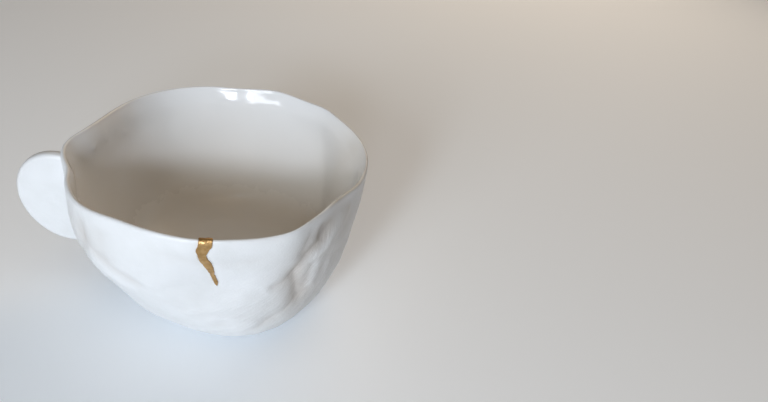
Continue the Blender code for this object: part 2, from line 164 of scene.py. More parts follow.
# Folds of the outside wall: points as direction in degrees and height share, half width and
# millimetres outwards, so that a crease is negative.
FOLDS = (
    (((328, 0.97), (322, 0.91), (315.7, 0.85), (312, 0.81), (307.8, 0.79), (304.7, 0.75),
      (302.6, 0.70), (301.7, 0.64), (303, 0.54), (306.6, 0.39), (309, 0.30)), 2.8, -1.4),
    (((304, 0.70), (301.7, 0.64), (298.8, 0.62), (295.9, 0.60), (293.5, 0.59), (289, 0.57)), 1.7, -0.6),
    (((323, 1.05), (318, 0.99), (313.4, 0.95), (313.3, 0.87), (311, 0.80)), 2.4, -0.9),
    (((306, 1.03), (305.4, 0.97), (304.5, 0.89), (302.5, 0.81), (301, 0.75)), 2.0, -0.45),
    (((340, 0.94), (330, 0.87), (321.2, 0.81), (315.5, 0.75), (311.5, 0.72), (308, 0.66)), 2.2, 0.8),
    (((315, 0.72), (313, 0.62), (312.7, 0.53), (310, 0.42)), 2.2, 0.45),
    (((310, 0.70), (309.5, 0.63), (308.9, 0.52), (309, 0.44)), 1.3, -0.3),
    (((284, 0.24), (290, 0.26), (299, 0.32), (309, 0.41), (314, 0.45)), 2.0, -0.4),
    (((209, 0.88), (215, 0.84), (223, 0.77), (231, 0.71), (240, 0.62), (246, 0.56)), 2.0, -0.55),
    (((218, 0.69), (224, 0.66), (233, 0.58), (240, 0.53)), 2.6, 0.4),
    (((217, 1.08), (217, 1.00), (218, 0.82), (212, 0.62), (209, 0.54)), 2.0, -0.55),
    (((226, 0.98), (227, 0.92), (229, 0.78), (230, 0.70)), 2.6, -0.35),
    (((248, 0.91), (256, 0.885), (264, 0.86), (272, 0.84), (284, 0.87), (292, 0.90)), 1.9, -0.25),
    (((185, 0.42), (187, 0.36), (191, 0.25), (197, 0.17), (201, 0.12)), 2.3, -0.95),
    (((200, 0.42), (207, 0.38), (217, 0.30), (216, 0.15), (204, 0.07), (196, 0.05)), 2.3, -0.75),
    (((186, 0.54), (190, 0.50), (198, 0.44), (202, 0.40)), 2.6, 0.7),
    (((22, 0.80), (24, 0.70), (30, 0.45), (22, 0.30), (18, 0.22)), 3.0, -0.75),
    (((55, 0.66), (60, 0.60), (72, 0.42), (70, 0.26), (69, 0.20)), 3.0, 0.6),
    (((109, 0.74), (112, 0.66), (118, 0.48), (108, 0.32), (104, 0.26)), 3.0, -0.65),
    (((147, 0.48), (150, 0.40), (158, 0.22), (161, 0.16)), 2.8, -0.75),
)
FOLD_TAPER = 0.22               # share of a fold's length over which it fades in and out
FOLD_LIP_FADE = 6.0             # height under the rim over which the folds fade out
CREASE_FLOOR = 0.35             # how round the bottom of a crease is, in half widths
# The creases are painted darker as painted shade, fully so at this depth of fold.
CREASE_SHADE_DEPTH = 1.6               # depth of a fold at which its bottom is as dark as it gets

# Fine wrinkles: direction and spread in degrees, height share and spread, slant of the wrinkles from
# level in degrees, and their length, width and depth in millimetres.
WRINKLES = (
    (318, 14, 0.62, 0.22, 62, 9.0, 1.7, 0.16),
    (300, 10, 0.58, 0.10, 50, 6.0, 1.5, 0.12),
    (310, 12, 0.34, 0.10, 35, 8.0, 1.5, 0.14),
    (290, 22, 0.24, 0.12, 20, 9.0, 1.6, 0.24),
    (268, 24, 0.36, 0.15, 6, 8.0, 1.8, 0.16),
    (234, 16, 0.66, 0.10, -34, 8.0, 1.7, 0.13),
    (236, 18, 0.30, 0.16, -20, 8.0, 2.2, 0.19),
    (214, 9, 0.90, 0.10, 74, 8.0, 1.6, 0.16),
    (206, 18, 0.50, 0.26, 60, 4.5, 2.2, 0.26),
    (186, 16, 0.30, 0.20, 30, 4.0, 2.4, 0.32),
    (160, 20, 0.45, 0.26, 50, 4.5, 2.6, 0.22),
    (110, 34, 0.34, 0.22, 12, 9.0, 2.4, 0.15),
    (50, 34, 0.34, 0.22, -14, 9.0, 2.4, 0.15),
    (8, 22, 0.44, 0.24, -50, 8.0, 2.2, 0.18),
)
WRINKLE_EDGE = 0.03             # a patch of wrinkles ends where it is fainter than this
# Soft unevenness of hand-worked clay: millimetres outwards, length, and seed of the noise.
LUMPS = ((0.22, 9.0, 61), (0.10, 4.0, 67))
LUMPS_END = 2.0                 # height over the rim where they have faded out
LUMPS_FADE = 20.0               # and the height over which they do
# Streaks too fine for the mesh, brushed into the skin by the material: direction and spread, height
# share and spread, slant from level, and length and width.
STREAKS = (
    (316, 16, 0.64, 0.26, 58, 7.0, 0.8),
    (288, 20, 0.40, 0.18, 34, 8.0, 0.8),
    (262, 22, 0.26, 0.14, 8, 9.0, 0.9),
    (210, 22, 0.62, 0.30, -58, 6.0, 0.9),
    (20, 70, 0.45, 0.24, 20, 7.0, 1.0),
    (130, 50, 0.45, 0.24, -20, 7.0, 1.0),
)
STREAK_DEPTH = 0.19
STREAK_LAYER = 3.7              # step in the noise from row to row
# Patches of painted shade: on the outside, as dark as its creases, and on the inside, where the glaze
# is painted towards its darker, warmer colour: direction and spread, height share and spread, and
# strength.
OUTSIDE_SHADE_PATCHES = ((324, 13, 0.74, 0.24, 0.40), (309, 9, 0.36, 0.12, 0.40), (207, 8, 0.80, 0.16, 0.18))
INSIDE_SHADE_PATCHES = ((0, 22, 0.85, 0.45, 1.3),)
# Folds of the inside wall, laid out like FOLDS, with a fold into the clay counted negative.
INSIDE_FOLDS = (
    (((48, 1.10), (44, 0.95), (42, 0.81), (38.7, 0.68), (34.7, 0.56), (30, 0.42), (26, 0.30)),
     7.0, -1.8),
    (((24, 1.04), (22, 0.98), (20, 0.80), (17, 0.60), (14, 0.40), (12, 0.30)), 9.0, 1.5),
    (((70, 1.04), (69, 0.98), (66, 0.80), (62, 0.60), (58, 0.40), (56, 0.30)), 9.0, 0.7),
    (((117, 0.92), (119, 0.86), (122, 0.79), (120, 0.70)), 3.0, -0.2),
)
INSIDE_FOLD_FADE = 12.0         # height under the rim over which they fade in
# Drops in the glaze of the inside: direction, height share, radius and height in millimetres.
DROPS = (
    (171.0, 0.90, 1.2, 0.40), (172.5, 0.94, 0.6, 0.20), (161.0, 0.90, 1.0, 0.30),
    (160.0, 0.94, 0.7, 0.20), (145.5, 0.855, 0.9, 0.25),
)
INSIDE_WAVES = (0.05, 11.0)     # millimetres in and out, and their length
# Dints of the inside: direction and spread, height share and spread, depth and length.
INSIDE_DINTS = ((150, 22, 0.92, 0.10, 0.16, 5.0), (80, 16, 0.97, 0.10, 0.16, 5.0))

# Disc handle: a flat disc of porcelain, taller than it is wide, standing nearly upright in the wall.
HANDLE_HALF_HEIGHT = 17.4
HANDLE_HALF_WIDTH = 14.8
HANDLE_THICKNESS = 3.4
HANDLE_CENTRE = (-49.7, 1.5, 32.8)
HANDLE_FACES = (-100.0, -5.3)   # direction and rise of its axis, in degrees
HANDLE_ROUND = 1.3              # radius of its rounded edge
HANDLE_COVE = 1.7               # radius of the cove where the disc leaves the wall
HANDLE_STEPS = 140
HANDLE_RINGS = 26
HANDLE_CROWD = 1.6              # how much closer its rings stand at the edge
HANDLE_EDGE_RINGS = 13

# Gold-filled chip, seen from the front: depth under the rim, then where its left and right edges
# lie across X.
CHIP_COURSE = (
    (-4.0, -3.7, -0.1), (1.0, -3.7, -0.35), (2.4, -4.1, -0.9), (3.7, -4.4, -1.5), (5.3, -4.0, -2.1),
    (7.0, -3.95, -1.75), (8.8, -3.25, -1.05), (10.8, -2.4, -0.65), (12.9, -1.8, -0.5),
    (14.6, -1.3, -0.45), (16.6, -0.9, 0.0), (18.2, -0.6, 0.3),
)
CHIP_TIP = (19.6, 0.15)         # depth under the rim and place across X
CHIP_STEPS = 7                  # steps between two places of its course
CHIP_FRONT = 62.0               # where the prism that cuts the chip starts, in front of the wall
CHIP_REACH = 34.0               # its length along Y, right through the wall
CHIP_RIM = 52.5                 # height of the rim where the chip is
GOLD_PROUD = 0.42               # how far the gold stands out of the porcelain
GOLD_OVERLAP = 0.12             # how far its edges run over the porcelain
GOLD_RAGGED = 0.13              # how far its brushed edges stray
GOLD_STRAYS = (0.8, (91, 97))   # their length, and seeds for the left and right edge
GOLD_GRAIN = 0.12               # cell of the mesh that rounds the gold's edges
GOLD_SOFTENING = (0.6, 6)       # strength and rounds of the smoothing after it
GOLD_LUMPS = ((0.14, 1.5, 101), (0.05, 0.6, 103))   # uneven lacquer, laid out like LUMPS
DIP_DEPTH = 0.22                # how far the porcelain sinks beside the gold
DIP_WIDTH = 1.1
DIP_REACH = 12.0                # how far across X from the middle it can be felt

# Finishes. Noise is given in cells to the metre.
PORCELAIN_IOR = 1.5
CLOUD_CELLS = 90.0
CLOUD_ENDS = (0.35, 0.62)       # where the noise of the clouds is darkest and palest
SATIN_CELLS = 260.0
SATIN_SPREAD = (-0.08, 0.08)    # how far the satin's roughness strays
GLOSS_SPREAD = (-0.02, 0.03)    # and the glaze's
SKIN_CELLS = 900.0
SKIN_DEPTH = 0.08               # depth of the skin's fine grain
SHADE_AND_DULL_HEIGHT = 52.0              # height in the cup below which the glaze is painted darker and warmer as shade, and is duller
DULL_FLOOR = 0.25               # roughness added where it reaches the floor
WORN_CELLS = 420.0
WORN_ENDS = (0.34, 0.60)        # where the noise of the wear is most worn and whole
GOLD_ROUGHNESS = (0.48, 0.30)   # worn, and whole
BRUSH_CELLS = 1500.0
BRUSH_DEPTH = 0.12
BRUSH_LEAN = 35.0               # slant of the brush marks in degrees
BRUSH_STRETCH = (3.0, 1.0, 0.5)
COLOUR_A, COLOUR_B, MIXED_COLOUR = 6, 7, 2      # sockets of a Mix node that mixes colours

# Soft studio lights round the cup, SOFTBOX_DISTANCE metres from the aim: plan direction from +X and
# rise in degrees, width and height of the softbox in metres, and watts in red, green and blue.
SOFTBOX_DISTANCE = 0.7
SOFTBOXES = (
    ("key_light", 247.0, 23.0, (0.20, 0.11), (1.33, 1.51, 1.64)),
    ("second_key_light", 265.0, 20.0, (0.09, 0.13), (0.84, 0.89, 1.00)),
    ("low_front_light", 240.0, 6.0, (0.40, 0.30), (2.14, 2.24, 2.40)),
    ("back_light", 60.0, 35.0, (0.60, 0.60), (1.80, 1.45, 1.09)),
    ("top_light", 270.0, 62.0, (0.70, 0.70), (0.88, 0.72, 0.54)),
)
ROOM_COLOUR = (0.94, 0.95, 0.96)
ROOM_STRENGTH = 0.002
ROOM_SEEN = 0.55                # how bright the room is where it is seen past the floor
FLOOR_SIZE = 4.0
FLOOR_COLOUR = (0.88, 0.915, 0.95)
FLOOR_ROUGHNESS = 0.9
FLOOR_SHINE = 0.1
FLOOR_GLOW = (0.80, 0.89, 1.0)
PICTURE_SHAPE = 402 / 768       # height of the picture over its width
CLIP_START = 0.01


def smooth_step(value):
    """Ease a value from 0 to 1."""
    eased = np.clip(value, 0.0, 1.0)
    return eased * eased * (3.0 - 2.0 * eased)


def course(points, steps):
    """Points along a smooth curve (Catmull-Rom) through the given points, steps to each stretch."""
    knots = np.array(points, dtype=float)
    knots = np.vstack([2.0 * knots[0] - knots[1], knots, 2.0 * knots[-1] - knots[-2]])
    share = np.linspace(0.0, 1.0, steps, endpoint=False)[:, None]
    stretches = []
    for first in range(len(knots) - 3):
        before, start, end, after = knots[first:first + 4]
        stretches.append(0.5 * (
            2.0 * start + (end - before) * share
            + (2.0 * before - 5.0 * start + 4.0 * end - after) * share ** 2
            + (3.0 * start - before - 3.0 * end + after) * share ** 3))
    return np.vstack(stretches + [knots[-2:-1]])


def wall_thickness(height):
    """Thickness of floor and wall at a height, thinning to the lip at the rim."""
    floor_share = 1.0 - smooth_step(height / FLOOR_BLEND)
    lip_share = smooth_step((height / RIM_HEIGHT - 0.5) * 2.0)
    wall = WALL_THICKNESS + (LIP_THICKNESS - WALL_THICKNESS) * lip_share
    wall -= (wall - LIP_EDGE) * np.clip(1.0 - (RIM_HEIGHT - height) / LIP_ROLL, 0.0, 1.0) ** 2
    return wall + (FLOOR_THICKNESS - WALL_THICKNESS) * floor_share


def outside_profile():
    """Radius and height up the turned outside, from the foot's edge to the rim."""
    knots = [(radius, share * RIM_HEIGHT) for radius, share in OUTSIDE]
    fine = course(knots, WALL_STEPS)
    reach = np.concatenate([[0.0], np.cumsum(np.hypot(*np.diff(fine, axis=0).T))])
    stations = np.linspace(0.0, reach[-1], WALL_RINGS)
    return np.stack([np.interp(stations, reach, fine[:, 0]), np.interp(stations, reach, fine[:, 1])], 1)


def turned_section():
    """Half section of the cup from the middle of its underside, over the lip, to its floor."""
    outer = outside_profile()
    slope = np.gradient(outer, axis=0)
    slope /= np.linalg.norm(slope, axis=1)[:, None]
    outward = np.stack([slope[:, 1], -slope[:, 0]], 1)
    whole_inner = outer - outward * wall_thickness(outer[:, 1])[:, None]
    towards_lip = 1.0 - (1.0 - np.linspace(0.0, 1.0, INSIDE_RINGS)) ** LIP_CROWD
    stations = towards_lip * (len(whole_inner) - 1)
    rings = np.arange(len(whole_inner))
    inner = np.stack([np.interp(stations, rings, column) for column in whole_inner.T], 1)
    foot = [(outer[0][0] * share, outer[0][1]) for share in np.linspace(0.0, 1.0, FOOT_RINGS)[:-1]]
    floor = [(inner[0][0] * share, inner[0][1]) for share in np.linspace(1.0, 0.0, FLOOR_RINGS)[1:]]
    roll = 2.0 * (LIP_THICKNESS - LIP_EDGE) / LIP_ROLL * LIP_TALL
    lean = math.atan(roll)
    half = LIP_EDGE / (1.0 + math.cos(lean) + roll * math.sin(lean))
    lip = []
    for ring in range(1, LIP_RINGS + 1):
        turn = (math.pi - lean) * ring / LIP_RINGS
        across, up = half * (1.0 - math.cos(turn)), half * LIP_TALL * math.sin(turn)
        lip.append(outer[-1] - outward[-1] * across + slope[-1] * up)
    return np.array(list(foot) + list(outer) + lip + list(inner[::-1]) + list(floor))


def apart_from(angle, middle):
    """Degrees from a direction, between -180 and 180."""
    return (angle - middle + 180.0) % 360.0 - 180.0


def bump(angle, middle, spread):
    """A soft bump round a direction in degrees."""
    return np.exp(-(apart_from(angle, middle) / spread) ** 2 / 2.0)


def squeezed(points):
    """Move points of the turned cup to where the hand squeezes leave them."""
    radius = np.hypot(points[:, 0], points[:, 1])
    angle = np.degrees(np.arctan2(points[:, 1], points[:, 0]))
    share = points[:, 2] / RIM_HEIGHT
    push = np.zeros(len(points))
    for direction, level, spread, tall, outwards in SQUEEZES:
        push += outwards * bump(angle, direction, spread) * np.exp(-((share - level) / tall) ** 2 / 2.0)
    lift = np.zeros(len(points))
    for direction, spread, upwards in RIM_WAVES:
        lift += upwards * bump(angle, direction, spread)
    push *= smooth_step((radius - STIFF_RADIUS) / STIFF_RADIUS)
    new_radius = radius + push
    new_height = points[:, 2] + lift * share * smooth_step(points[:, 2] / LEVEL_FOOT)
    turn = np.radians(angle)
    return np.stack([new_radius * np.cos(turn), new_radius * np.sin(turn), new_height], 1)


def on_wall(direction, share, inset=0.0):
    """Where a direction and height share lie on the squeezed outside, or inset millimetres in."""
    outside = outside_profile()
    height = share * RIM_HEIGHT
    radius = float(np.interp(height, outside[:, 1], outside[:, 0])) - inset
    turn = math.radians(direction)
    return squeezed(np.array([[radius * math.cos(turn), radius * math.sin(turn), height]]))[0]


def nearest_on(points, stroke):
    """Distance from each point to a row of points, and how far along it the nearest place is."""
    lengths = np.linalg.norm(np.diff(stroke, axis=0), axis=1)
    reached = np.concatenate([[0.0], np.cumsum(lengths)]) / lengths.sum()
    nearest = np.full(len(points), np.inf)
    share = np.zeros(len(points))
    for piece, start in enumerate(stroke[:-1]):
        along = stroke[piece + 1] - start
        done = np.clip((points - start) @ along / (along @ along), 0.0, 1.0)
        away = np.linalg.norm(points - start - done[:, None] * along, axis=1)
        closer = away < nearest
        nearest = np.where(closer, away, nearest)
        share = np.where(closer, reached[piece] + done * (reached[piece + 1] - reached[piece]), share)
    return nearest, share


def fold_profile(away, half_width, rise):
    """Height of a fold across its width: round for a ridge, sharp for a crease."""
    across = away / half_width
    if rise > 0.0:
        return rise * np.exp(-across ** 2)
    return rise * np.exp(CREASE_FLOOR - np.hypot(across, CREASE_FLOOR))


def folded(points, table, inset=0.0):
    """Millimetres that the folds of a table raise each point of the wall."""
    raised = np.zeros(len(points))
    for places, half_width, rise in table:
        stroke = course([on_wall(direction, share, inset) for direction, share in places], STROKE_STEPS)
        away, along = nearest_on(points, stroke)
        ends = smooth_step(along / FOLD_TAPER) * smooth_step((1.0 - along) / FOLD_TAPER)
        raised += fold_profile(away, half_width, rise) * ends
    return raised


def foot_relief(points):
    """Millimetres outwards at each point of the outside for the lobed and hollowed foot."""
    lobe = np.zeros(len(points))
    for places, reach, rise in LOBES:
        stroke = course([(x, y, 0.0) for x, y in places], STROKE_STEPS)
        inside = np.clip(1.0 - (nearest_on(points, stroke)[0] / reach) ** 2, 0.0, 1.0)
        lobe = np.maximum(lobe, rise * np.sqrt(inside))
    across = (points[:, 0] - HOLLOW_MIDDLE[0]) / HOLLOW_REACH[0]
    along = (points[:, 1] - HOLLOW_MIDDLE[1]) / HOLLOW_REACH[1]
    hollow = HOLLOW_DEPTH * smooth_step((HOLLOW_EDGE - np.hypot(across, along)) / HOLLOW_SLOPE)
    hollow *= smooth_step((HOLLOW_TOP - points[:, 2]) / HOLLOW_FADE)
    return np.minimum(lobe - hollow, 0.0)


def noise_at(points, seed):
    """Soft noise between about -1 and 1 at each point, one cell to a unit."""
    shift = Vector((seed * 17.3, seed * 5.7, seed * 11.9))
    return np.array([noise.noise(Vector(point) + shift) for point in points])


def lumps(points, table):
    """Uneven clay or lacquer, in millimetres outwards."""
    return sum(depth * noise_at(points / length, seed) for depth, length, seed in table)


def patch(angle, share, middle, spread, level, tall):
    """How much each point belongs to a soft-edged patch of the wall."""
    return bump(angle, middle, spread) * np.exp(-((share - level) / tall) ** 2 / 2.0)


def patched(angle, share, table):
    """How strongly the patches of a table cover each point."""
    return sum(row[4] * patch(angle, share, *row[:4]) for row in table)


def wrinkles(angle, share):
    """Millimetres outwards for the fine wrinkles pressed into the outside."""
    outwards = np.zeros(len(angle))
    radius = OUTSIDE[-1][0]
    for seed, (middle, spread, level, tall, slant, length, width, depth) in enumerate(WRINKLES):
        mask = patch(angle, share, middle, spread, level, tall)
        near = mask > WRINKLE_EDGE
        round_wall = np.radians(apart_from(angle[near], middle)) * radius
        up_wall = (share[near] - level) * RIM_HEIGHT
        turn = math.radians(slant)
        along = round_wall * math.cos(turn) + up_wall * math.sin(turn)
        across = up_wall * math.cos(turn) - round_wall * math.sin(turn)
        grain = np.stack([along / length, across / width / 2.0, np.zeros(len(along))], 1)
        ridged = noise_at(grain, seed + 1) + 0.5 * noise_at(grain * 2.1, seed + 31)
        outwards[near] += mask[near] * depth * ridged
    return outwards


def inside_waves(points, angle, share):
    """Soft waves and dints of the glazed inside, in millimetres."""
    depth, length = INSIDE_WAVES
    waves = depth * noise_at(points / length, 71)
    for seed, (*place, deep, size) in enumerate(INSIDE_DINTS):
        waves += patch(angle, share, *place) * deep * noise_at(points / size, 73 + seed)
    for direction, level, radius, height in DROPS:
        middle = on_wall(direction, level, WALL_THICKNESS)
        waves += height * np.exp(-(np.linalg.norm(points - middle, axis=1) / radius) ** 2)
    below_lip = smooth_step((RIM_HEIGHT - points[:, 2]) / INSIDE_FOLD_FADE)
    return waves + folded(points, INSIDE_FOLDS, WALL_THICKNESS) * below_lip


def edge_dip(points):
    """Millimetres that the wall sinks beside the gold, on the front of the cup."""
    sunk = np.zeros(len(points))
    front = (points[:, 1] < 0.0) & (np.abs(points[:, 0]) < DIP_REACH)
    across = points[front][:, (0, 2)]
    for side in (1, 2):
        edge = np.array([(row[side], CHIP_RIM - row[0]) for row in CHIP_COURSE[1:]])
        away, _ = nearest_on(across, edge)
        sunk[front] = np.maximum(sunk[front], DIP_DEPTH * np.exp(-(away / DIP_WIDTH) ** 2))
    return sunk


def start_piece():
    """Leave edit mode and deselect everything, so that the next operator acts on its piece alone."""
    if bpy.context.object is not None and bpy.context.object.mode != "OBJECT":
        bpy.ops.object.mode_set(mode="OBJECT")
    bpy.ops.object.select_all(action="DESELECT")


def make_active(thing):
    """Select one object alone and make it active."""
    start_piece()
    thing.hide_set(False)
    thing.select_set(True)
    bpy.context.view_layer.objects.active = thing


def drawn_line(places, depth=0.0):
    """Draw a line through places across X and up Z, point by point, and leave it in edit mode."""
    start_piece()
    across, up = places[0]
    bpy.ops.mesh.primitive_plane_add(size=MM, location=(across * MM, depth * MM, up * MM))
    line = bpy.context.object
    bpy.ops.object.transform_apply(location=True, rotation=False, scale=False)
    bpy.ops.object.mode_set(mode="EDIT")
    bpy.ops.mesh.merge(type="CENTER")
    for across, up in np.diff(places, axis=0):
        bpy.ops.mesh.extrude_region_move(TRANSFORM_OT_translate={"value": (across * MM, 0.0, up * MM)})
    bpy.ops.mesh.select_all(action="SELECT")
    return line


def closed(thing, name):
    """Face a drawn piece outwards, leave edit mode and name it."""
    bpy.ops.mesh.select_all(action="SELECT")
    bpy.ops.mesh.normals_make_consistent(inside=False)
    bpy.ops.object.mode_set(mode="OBJECT")
    thing.name = name
    thing.data.name = name
    return thing


def turned_piece(name, section, steps):
    """Spin a half section round Z and close its seam and poles."""
    thing = drawn_line(section)
    bpy.ops.mesh.spin(steps=steps, angle=math.tau, center=(0.0, 0.0, 0.0), axis=(0.0, 0.0, 1.0))
    bpy.ops.mesh.select_all(action="SELECT")
    bpy.ops.mesh.remove_doubles(threshold=WELD * MM)
    return closed(thing, name)


def read_rows(thing, kind):
    """One row for each point of a piece, such as its "co" or its "normal"."""
    flat = np.empty(len(thing.data.vertices) * 3)
    thing.data.vertices.foreach_get(kind, flat)
    return flat.reshape(-1, 3)


def read_points(thing):
    """A piece's points in millimetres."""
    return read_rows(thing, "co") / MM


def write_points(thing, points):
    """Set a piece's points from millimetres."""
    thing.data.vertices.foreach_set("co", (points * MM).ravel())
    thing.data.update()


def apply_modifier(thing, kind, **settings):
    """Add a modifier to a piece, set it and apply it."""
    make_active(thing)
    modifier = thing.modifiers.new(kind.title(), kind)
    for name, value in settings.items():
        setattr(modifier, name, value)
    bpy.ops.object.modifier_apply(modifier=modifier.name)


def boolean(thing, operation, other):
    """Apply an exact Boolean and delete the other piece."""
    apply_modifier(thing, "BOOLEAN", operation=operation, object=other, solver="EXACT")
    bpy.data.objects.remove(other)


def unit_vector(direction, rise):
    """Unit vector in a direction round Z and at a rise from level, both in degrees."""
    turn, lift = math.radians(direction), math.radians(rise)
    return np.array([math.cos(turn) * math.cos(lift), math.sin(turn) * math.cos(lift), math.sin(lift)])


def cove(points):
    """Millimetres outwards for the cove of clay that joins the disc to the wall."""
    axis = unit_vector(*HANDLE_FACES)
    off_centre = points - np.array(HANDLE_CENTRE)
    through = off_centre @ axis
    in_plane = off_centre - through[:, None] * axis
    level = np.hypot(in_plane[:, 0], in_plane[:, 1]) * HANDLE_HALF_HEIGHT / HANDLE_HALF_WIDTH
    beside = np.maximum(np.abs(through) - HANDLE_THICKNESS / 2.0, 0.0)
    beyond = np.maximum(np.hypot(level, in_plane[:, 2]) - HANDLE_HALF_HEIGHT, 0.0)
    left = np.clip(HANDLE_COVE - np.hypot(beside, beyond), 0.0, HANDLE_COVE)
    on_this_side = points[:, 0] < 0.0
    return on_this_side * (HANDLE_COVE - np.sqrt(HANDLE_COVE ** 2 - left ** 2))


def way_in(turned):
    """How far each point of the turned cup lies in from its outside, 1 on the inside."""
    outside = outside_profile()
    radius = np.hypot(turned[:, 0], turned[:, 1])
    wall = np.interp(turned[:, 2], outside[:, 1], outside[:, 0])
    through = smooth_step((wall - radius) / wall_thickness(turned[:, 2]))
    return through * smooth_step((turned[:, 2] - FLOOR_THICKNESS / 2.0) / FLOOR_EDGE)


def flared(points, angle, rolled):
    """Move the inside of the lip outwards where the lip is thinner."""
    thinner = rolled * sum(less * bump(angle, direction, spread) for direction, spread, less in FLARES)
    points[:, 0] -= thinner * np.cos(np.radians(angle))
    points[:, 1] -= thinner * np.sin(np.radians(angle))


def shape_cup(thing):
    """Squeeze the turned cup, fold and wrinkle its outside. Returns what the material needs to know."""
    turned = read_points(thing)
    height = turned[:, 2]
    angle = np.degrees(np.arctan2(turned[:, 1], turned[:, 0]))
    share = height / RIM_HEIGHT
    inwards = way_in(turned)
    points = squeezed(turned)
    flared(points, angle, inwards * smooth_step((height - RIM_HEIGHT + LIP_ROLL) / LIP_ROLL))
    write_points(thing, points)

    outer = inwards < OUTSIDE_ENDS
    skin = points[outer]
    fade = smooth_step((RIM_HEIGHT - height[outer]) / FOLD_LIP_FADE)
    folds = (folded(skin, FOLDS) + wrinkles(angle[outer], share[outer])) * fade
    uneven = lumps(skin, LUMPS) * smooth_step((RIM_HEIGHT + LUMPS_END - height[outer]) / LUMPS_FADE)
    outwards = np.zeros(len(points))
    outwards[outer] = folds + foot_relief(skin) * fade + uneven + cove(skin) - edge_dip(skin)
    inner = inwards > INSIDE_STARTS
    outwards[inner] += inside_waves(points[inner], angle[inner], share[inner])
    points = points + read_rows(thing, "normal") * outwards[:, None]
    points[:, 2] = np.maximum(points[:, 2] - FOOT_CUT, 0.0)
    write_points(thing, points)

    # Painted shade: the creases of the folds, and patches of the outside, are painted darker, as shade
    # falls there.
    creases = np.zeros(len(points))
    creases[outer] = np.maximum(-folds / CREASE_SHADE_DEPTH, 0.0)
    creases += patched(angle, share, OUTSIDE_SHADE_PATCHES) * outer
    # Painted shade on the inside: patches where the glaze is painted darker and warmer.
    inside_shade = patched(angle, share, INSIDE_SHADE_PATCHES)
    notes = {"glaze": inwards, "creases": np.minimum(creases, 1.0), "inside_shade": inside_shade}
    for number, row in enumerate(STREAKS):
        notes[f"streaks_{number}"] = patch(angle, share, *row[:4]) * (1.0 - inwards)
    return notes


def carry_notes(thing, points, notes):
    """Write the notes made on the uncut cup's points at the nearest points of the finished one."""
    tree = kdtree.KDTree(len(points))
    for index, point in enumerate(points):
        tree.insert(point, index)
    tree.balance()
    nearest = [tree.find(point)[1] for point in read_points(thing)]
    for name, values in notes.items():
        attribute = thing.data.attributes.new(name, "FLOAT", "POINT")
        attribute.data.foreach_set("value", values[nearest].astype(np.float32))


def solid_core():
    """The squeezed cup filled up from the middle of its wall inwards, which trims the handle."""
    side = outside_profile()
    side[:, 0] -= wall_thickness(side[:, 1]) / 2.0
    bottom = FLOOR_THICKNESS / 2.0
    side = side[side[:, 1] > bottom]
    core = turned_piece("core", np.array([(0.0, bottom), *side, (0.0, RIM_HEIGHT)]), STEPS_AROUND)
    write_points(core, squeezed(read_points(core)))
    return core


def disc_handle():
    """The flat disc, turned like a coin with a rounded edge and stood up in the wall."""
    half = HANDLE_THICKNESS / 2.0
    flat = HANDLE_HALF_HEIGHT - HANDLE_ROUND
    outwards = 1.0 - (1.0 - np.linspace(0.0, 1.0, HANDLE_RINGS)) ** HANDLE_CROWD
    top = [(flat * share, half) for share in outwards]
    edge = []
    for turn in np.linspace(math.pi / 2.0, -math.pi / 2.0, HANDLE_EDGE_RINGS)[1:-1]:
        sink = (half - HANDLE_ROUND) * np.sign(round(turn, 2))
        edge.append((flat + HANDLE_ROUND * math.cos(turn), sink + HANDLE_ROUND * math.sin(turn)))
    bottom = [(radius, -height) for radius, height in top[::-1]]
    disc = turned_piece("handle_disc", np.array(top + edge + bottom), HANDLE_STEPS)
    direction, rise = (math.radians(value) for value in HANDLE_FACES)
    disc.rotation_euler = (0.0, math.pi / 2.0 - rise, direction)
    disc.location = [value * MM for value in HANDLE_CENTRE]
    disc.scale = (1.0, HANDLE_HALF_WIDTH / HANDLE_HALF_HEIGHT, 1.0)
    make_active(disc)
    bpy.ops.object.transform_apply(location=True, rotation=True, scale=True)
    return disc


def chip_prism(name, grow, ragged):
    """The chip's outline pushed through the front wall. grow widens it and ragged makes it stray."""
    rows = course(CHIP_COURSE, CHIP_STEPS)
    length, seeds = GOLD_STRAYS
    stray = [ragged * noise_at(rows / length, seed) for seed in seeds]
    left = [(edge - grow + off, CHIP_RIM - depth) for (depth, edge, _), off in zip(rows, stray[0])]
    right = [(edge + grow + off, CHIP_RIM - depth) for (depth, _, edge), off in zip(rows, stray[1])]
    tip = (CHIP_TIP[1], CHIP_RIM - CHIP_TIP[0] - grow * 2.0)
    prism = drawn_line(np.array(left + [tip] + right[::-1]), -CHIP_FRONT)
    bpy.ops.mesh.edge_face_add()
    bpy.ops.mesh.extrude_region_move(TRANSFORM_OT_translate={"value": (0.0, CHIP_REACH * MM, 0.0)})
    return closed(prism, name)


def finished(thing, name, node, material):
    """Name a piece, give it its material and let it stand for its node."""
    thing.name = name
    thing.data.name = name
    thing.data.materials.clear()
    thing.data.materials.append(material)
    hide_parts(node)
    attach(thing, "root")


def new_material(name):
    """A node material and its shader."""
    material = bpy.data.materials.new(name)
    material.use_nodes = True
    tree = material.node_tree
    return material, tree, tree.nodes["Principled BSDF"]


def feed(tree, node, inputs):
    """Feed a node's inputs, each from a socket or with a plain value."""
    for name, value in inputs.items():
        if isinstance(value, bpy.types.NodeSocket):
            tree.links.new(value, node.inputs[name])
        else:
            node.inputs[name].default_value = value


def add_node(tree, kind, inputs, **properties):
    """Add a node, set its properties and feed its inputs."""
    node = tree.nodes.new(kind)
    for name, value in properties.items():
        setattr(node, name, value)
    feed(tree, node, inputs)
    return node


def noise_node(tree, vector, cells, detail, roughness=0.55):
    """Noise on object coordinates, in cells to the metre."""
    inputs = {"Vector": vector, "Scale": cells, "Detail": detail, "Roughness": roughness}
    return add_node(tree, "ShaderNodeTexNoise", inputs).outputs["Fac"]


